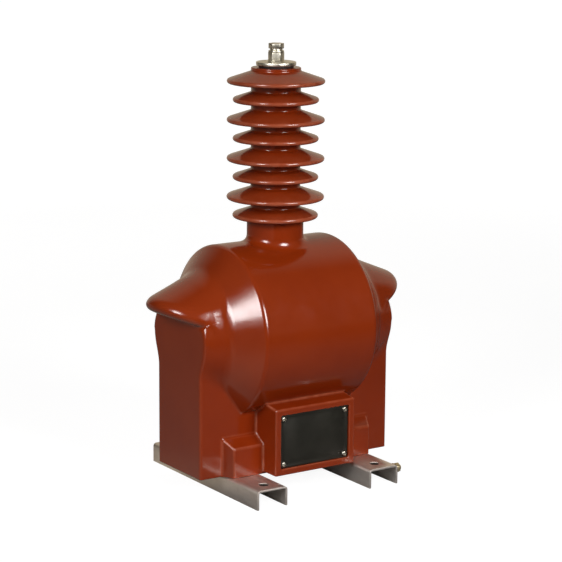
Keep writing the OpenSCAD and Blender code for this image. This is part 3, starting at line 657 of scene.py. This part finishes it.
# Cover screws: four pan heads with a cross recess, cold-headed from steel wire and zinc-plated.
# They are driven through the cover and its gasket into the brass inserts of the casting.
SCREW_DARK = (0.27, 0.25, 0.21, 1)
SCREW_LIGHT = (0.46, 0.44, 0.38, 1)
screws_low, screws_high = corners("cover_screws")
head_r, head_h, shank_r = 4.25, 2.5, 2.5
head_bow = ((0, 1), (0.35, 0.98), (0.62, 0.90), (0.83, 0.72), (0.95, 0.45), (1, 0.15), (0.98, 0))
recess_w, recess_reach, recess_deep, recess_turn = 1.1, 2.5, 1.3, math.radians(35)
tip_chamfer, axis_weld, SCREW_SIDES, SCREW_SHADE = 0.5, 1e-4, 40, math.radians(35)
seat_y = corners("terminal_cover")[0][1]
shank_len = screws_high[1] - seat_y


def turned_mesh(line, sides):
    """A closed turned solid from a half section that starts and ends on the axis."""
    work = bmesh.new()
    verts = [work.verts.new((r, 0, z)) for r, z in line]
    edges = [work.edges.new(pair) for pair in zip(verts, verts[1:])]
    bmesh.ops.spin(
        work, geom=verts + edges, cent=(0, 0, 0), axis=(0, 0, 1), angle=2 * math.pi, steps=sides,
    )
    bmesh.ops.remove_doubles(work, verts=work.verts, dist=axis_weld)
    bmesh.ops.recalc_face_normals(work, faces=work.faces)
    return work


def cut_by(body, tools):
    """The body mesh less the tool meshes, as a plain mesh."""
    target = bpy.data.objects.new("cut_body", body)
    bpy.context.scene.collection.objects.link(target)
    cutters = []
    for tool in tools:
        cutter = bpy.data.objects.new("cut_tool", tool)
        bpy.context.scene.collection.objects.link(cutter)
        cutters.append(cutter)
        modifier = target.modifiers.new("cut", "BOOLEAN")
        modifier.operation = "DIFFERENCE"
        modifier.solver = "EXACT"
        modifier.object = cutter
    bpy.context.view_layer.update()
    mesh = bpy.data.meshes.new_from_object(target.evaluated_get(bpy.context.evaluated_depsgraph_get()))
    for used in [target] + cutters:
        bpy.data.objects.remove(used)
    return mesh


def bar_mesh(x, y, z, at):
    """A plain bar, for cutting a recess."""
    mesh = bpy.data.meshes.new("bar")
    work = bmesh.new()
    bmesh.ops.create_cube(work, size=1, matrix=Matrix.Translation(at) @ Matrix.Diagonal((x, y, z, 1)))
    work.to_mesh(mesh)
    work.free()
    return mesh


screw_zinc = plated_finish("screw_plating", SCREW_DARK, SCREW_LIGHT, roughness=0.27)
outline = [(head_r * r, head_h * z) for r, z in head_bow] + [(shank_r, 0)]
outline += [(shank_r, tip_chamfer - shank_len), (shank_r - tip_chamfer, -shank_len), (0, -shank_len)]
work = turned_mesh(outline, SCREW_SIDES)
head = bpy.data.meshes.new("screw_head")
work.to_mesh(head)
work.free()
lift = (0, 0, head_h)
head = cut_by(head, [
    bar_mesh(2 * recess_reach, recess_w, 2 * recess_deep, lift),
    bar_mesh(recess_w, 2 * recess_reach, 2 * recess_deep, lift),
])
head.transform(Matrix.Rotation(recess_turn, 4, "Z"))
head.transform(Matrix.Rotation(math.pi / 2, 4, "X"))
head.transform(Matrix.Diagonal((MM, MM, MM, 1)))


def scatter_tree():
    """Repeats one fastener on the corners of an upright oblong."""
    tree, given = geometry_tree("set_of_screws", {
        "Screw": "Object", "Across": "Float", "Height": "Float", "Middle": "Vector", "Finish": "Material",
    })
    screw = add_node(tree, "GeometryNodeObjectInfo", {"Object": given["Screw"]}).outputs["Geometry"]
    oblong = add_node(tree, "GeometryNodeMeshGrid", {
        "Size X": given["Across"], "Size Y": given["Height"], "Vertices X": 2, "Vertices Y": 2,
    }).outputs["Mesh"]
    upright = made_by(tree, "GeometryNodeTransform", {
        "Geometry": oblong, "Translation": given["Middle"], "Rotation": (math.pi / 2, 0, 0),
    })
    copies = made_by(tree, "GeometryNodeInstanceOnPoints", {"Points": upright, "Instance": screw})
    whole = made_by(tree, "GeometryNodeRealizeInstances", {"Geometry": copies})
    whole = made_by(tree, "GeometryNodeSetMaterial", {"Geometry": whole, "Material": given["Finish"]})
    add_node(tree, "NodeGroupOutput", {"Geometry": whole})
    return tree


pattern = bpy.data.objects.new("screw_pattern", head)
bpy.context.scene.collection.objects.link(pattern)
spread = (screws_high - screws_low) - 2 * head_r
middle = (screws_high + screws_low) / 2
mesh = grown("cover_screws", scatter_tree(), {
    "Screw": pattern, "Across": spread[0] * MM, "Height": spread[2] * MM,
    "Middle": (middle[0] * MM, seat_y * MM, middle[2] * MM), "Finish": screw_zinc,
}, [pattern])
mesh.shade_smooth()
mesh.set_sharp_from_angle(angle=SCREW_SHADE)
screw_set = new_piece("cover_screw_set", mesh, screw_zinc)
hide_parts("cover_screws")
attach(screw_set, "root")


# Primary terminal: a rubber gasket and a pressed disc seal the top of the bushing; a hexagonal
# post, washers and a bolt into the cast-in insert clamp them and take the line lead. The metal is tinned.
TIN_DARK = (0.64, 0.60, 0.50, 1)
TIN_LIGHT = (0.92, 0.88, 0.77, 1)
tinned = plated_finish("tin_plating", TIN_DARK, TIN_LIGHT, roughness=0.33)
eased("terminal_gasket", rubber, width=0.4)
eased("terminal_disc", tinned, width=0.8)
eased("terminal_post", tinned, width=0.5)
eased("terminal_washer", tinned, width=0.3)
eased("terminal_spring_washer", tinned, width=0.2)
eased("terminal_bolt", tinned, width=0.6)


# Mounting channels: two lengths of stainless sheet bent to a U, open side down, with a bolt hole
# near each end. Two bolts with washers hold each one to the inserts in the foot bosses. The sheet
# keeps its mill grain and smudges, and the bores of the holes are painted dark below their lip, as painted
# shade.
STEEL_DULL = (0.58, 0.51, 0.46, 1)
STEEL_CLEAN = (0.92, 0.85, 0.78, 1)
BORE_PAINTED_SHADE = (0.05, 0.035, 0.03, 1)
hole_x, hole_y, hole_r = 96.0, 120.0, 7.0
bore_near, bore_far, lip_low, lip_high = hole_r + 0.05, hole_r + 0.3, box_bottom - 1.6, box_bottom - 1.0


def reckon_way(tree, operation, first, second=(0, 0, 0)):
    """The outputs of one Vector Math node."""
    return add_node(tree, "ShaderNodeVectorMath", {0: first, 1: second}, operation=operation).outputs


stainless, tree, shader, place = start_finish("stainless_sheet", metallic=1.0)
smudge = cloud(tree, place, scale=26, detail=5.0, stretch=(1, 0.45, 1))
grain = cloud(tree, place, scale=900, detail=3.0, stretch=(1, 0.02, 1))
colour = two_tone(tree, between(tree, smudge, 0, 1), STEEL_DULL, STEEL_CLEAN)
quarter = reckon_way(tree, "ABSOLUTE", place)["Vector"]
from_axis = reckon_way(tree, "SUBTRACT", quarter, (hole_x * MM, hole_y * MM, 0))["Vector"]
flat = reckon_way(tree, "MULTIPLY", from_axis, (1, 1, 0))["Vector"]
# Painted shade in the bolt-hole bores, below the lip of each hole.
bore_shade = between(tree, reckon_way(tree, "LENGTH", flat)["Value"], 1, 0, bore_near * MM, bore_far * MM)
height = add_node(tree, "ShaderNodeSeparateXYZ", {0: place}).outputs["Z"]
shade_below_lip = between(tree, height, 1, 0, lip_low * MM, lip_high * MM)
colour = two_tone(tree, reckon(tree, "MULTIPLY", bore_shade, shade_below_lip), colour, BORE_PAINTED_SHADE)
coat(tree, shader, colour, between(tree, smudge, low=0.58, high=0.34))
relief(tree, shader, grain, depth=0.00005)
for side in ("left_channel", "right_channel"):
    eased(side, stainless, width=0.5)
dress(zinc, "channel_washers", "channel_spring_washers", "channel_bolts")


# Earth terminal: a stud welded to the flange of the right channel, with a washer, a spring
# washer and a nut that clamp the earth wire. All brass-coloured.
eased("earth_stud", brass, width=0.4)
eased("earth_washer", brass, width=0.2)
eased("earth_spring_washer", brass, width=0.15)
eased("earth_nut", brass, width=0.5)


# Studio: a plain pale floor that keeps the shadow, a white surround, a soft box on either side of
# the camera and a wide fill behind, which isn't mirrored. Mirrored rays see a warm floor that is pale
# behind and to the left, a dim warm room that is paler behind, and a bright glow round each soft box.
SEEN_WHITE = (1, 1, 1, 1)
MIRRORED_WARM = (1.0, 0.86, 0.66, 1)
FLOOR_GREY = (0.20, 0.20, 0.20, 1)
floor_reach, near_floor, far_floor, near_white = 14.0, 1.2, 3.0, 0.92
back_way, back_level = (0.55, 0.83, 0), 0.45
side_way, side_level, side_from, side_full = (-0.8, 0.6, 0), 0.33, 0.06, 0.15
side_rest, fade_from, fade_end = 0.36, 0.16, 0.34


def facing(tree, vector, way):
    """How far a vector reaches along a direction."""
    return reckon_way(tree, "DOT_PRODUCT", vector, way)["Value"]


def ray_kinds(tree):
    """Two sockets: 1 for rays from the camera, and 1 for rays by way of a mirror or glass."""
    path = add_node(tree, "ShaderNodeLightPath").outputs
    mirrored = reckon(tree, "MAXIMUM", path["Is Glossy Ray"], path["Is Transmission Ray"])
    return path["Is Camera Ray"], mirrored


floor_mesh = bpy.data.meshes.new("floor")
floor_mesh.from_pydata([
    (-floor_reach, -floor_reach, 0), (floor_reach, -floor_reach, 0),
    (floor_reach, floor_reach, 0), (-floor_reach, floor_reach, 0),
], [], [(0, 1, 2, 3)])
floor_paint, tree, shader, place = start_finish("floor_paint", specular=0.1)
shader.inputs["Base Color"].default_value = FLOOR_GREY
patches = cloud(tree, place, scale=3, detail=2.0)
tree.links.new(between(tree, patches, low=0.75, high=0.85), shader.inputs["Roughness"])
seen, mirrored = ray_kinds(tree)
away = reckon_way(tree, "LENGTH", place)["Value"]
white = between(tree, away, near_white, 1.0, near_floor, far_floor)
behind = between(tree, facing(tree, place, back_way), 0, back_level, near_floor, far_floor)
leftward = facing(tree, place, side_way)
beside = between(tree, leftward, 0, side_level, side_from, side_full)
beside = reckon(tree, "MULTIPLY", beside, between(tree, leftward, 1, side_rest, fade_from, fade_end))
pale = reckon(tree, "MULTIPLY", reckon(tree, "MAXIMUM", behind, beside), mirrored)
glow = reckon(tree, "MAXIMUM", reckon(tree, "MULTIPLY", white, seen), pale)
tree.links.new(two_tone(tree, seen, MIRRORED_WARM, SEEN_WHITE), shader.inputs["Emission Color"])
tree.links.new(glow, shader.inputs["Emission Strength"])
floor = new_piece("floor", floor_mesh, floor_paint)


def lamp_way(azimuth, height):
    """Direction from the barrel to a lamp, azimuth from the front towards the right."""
    a, e = math.radians(azimuth), math.radians(height)
    return Vector((math.sin(a) * math.cos(e), -math.cos(a) * math.cos(e), math.sin(e)))


left_way = lamp_way(azimuth=-67, height=25)
right_way = lamp_way(azimuth=8, height=24)
rear_way = lamp_way(azimuth=163, height=10)
halo_level, halo_rim, halo_core = 3.2, math.cos(math.radians(21)), math.cos(math.radians(9))
ambient, room_back, room_front, room_turn = 0.06, 0.05, 0.12, 0.3
front_way = (-0.55, -0.83, 0)
sweep_way, sweep_level, sweep_from, sweep_full = (0.60, 0.71, 0.37), 0.5, 0.52, 0.80
world = bpy.data.worlds.new("surround")
bpy.context.scene.world = world
world.use_nodes = True
tree = world.node_tree
way = add_node(tree, "ShaderNodeTexCoord").outputs["Generated"]
seen, mirrored = ray_kinds(tree)
halos = []
for lamp in (left_way, right_way):
    halos.append(between(tree, facing(tree, way, lamp), 0, halo_level, halo_rim, halo_core))
level = between(tree, mirrored, ambient, reckon(tree, "MAXIMUM", *halos), 0, 1)
back = tree.nodes["Background"]
back.inputs["Color"].default_value = SEEN_WHITE
tree.links.new(reckon(tree, "MAXIMUM", level, seen), back.inputs["Strength"])
sweep = between(tree, facing(tree, way, sweep_way), 0, sweep_level, sweep_from, sweep_full)
room = between(tree, facing(tree, way, front_way), room_back, room_front, -room_turn, room_turn)
room = reckon(tree, "MULTIPLY", reckon(tree, "MAXIMUM", room, sweep), mirrored)
warm = made_by(tree, "ShaderNodeBackground", {"Color": MIRRORED_WARM, "Strength": room})
both = made_by(tree, "ShaderNodeAddShader", {0: back.outputs[0], 1: warm})
tree.links.new(both, tree.nodes["World Output"].inputs["Surface"])
lamp_aim, lamp_beam = Vector((0, 0, 0.24)), math.radians(50)


def soft_box(name, way, distance, width, tall, power):
    """A rectangular lamp that faces the barrel, with a narrow beam."""
    data = bpy.data.lights.new(name, "AREA")
    data.shape = "RECTANGLE"
    data.size, data.size_y, data.energy, data.spread = width, tall, power, lamp_beam
    lamp = bpy.data.objects.new(name, data)
    lamp.location = lamp_aim + way * distance
    lamp.rotation_euler = way.to_track_quat("Z", "Y").to_euler()
    bpy.context.scene.collection.objects.link(lamp)
    return lamp


soft_box("left_soft_box", left_way, distance=2.2, width=0.60, tall=0.95, power=2.5)
soft_box("right_soft_box", right_way, distance=2.2, width=0.85, tall=0.90, power=3.6)
fill = soft_box("rear_fill", rear_way, distance=2.4, width=1.6, tall=1.0, power=3.0)
fill.visible_glossy = False


# Camera: the photograph's viewpoint, from the front left and a little above, with a long lens.
# Its place and its axes were solved from edges and holes of the object.
camera_place = Vector((-1.65526, -2.49334, 0.91401))
camera_right, camera_up = (0.83225, -0.55435, 0.00721), (0.10772, 0.17444, 0.97876)
camera_back = (-0.54384, -0.81379, 0.20489)
camera_data = bpy.data.cameras.new("photo_camera")
camera_data.sensor_width = 36.0
camera_data.lens = 135.41
camera_data.clip_end = 60.0
camera = bpy.data.objects.new("photo_camera", camera_data)
camera_turn = Matrix((camera_right, camera_up, camera_back)).transposed().to_4x4()
camera.matrix_world = Matrix.Translation(camera_place) @ camera_turn
bpy.context.scene.collection.objects.link(camera)
bpy.context.scene.camera = camera
bpy.context.scene.view_settings.view_transform = "Standard"

bpy.context.view_layer.update()
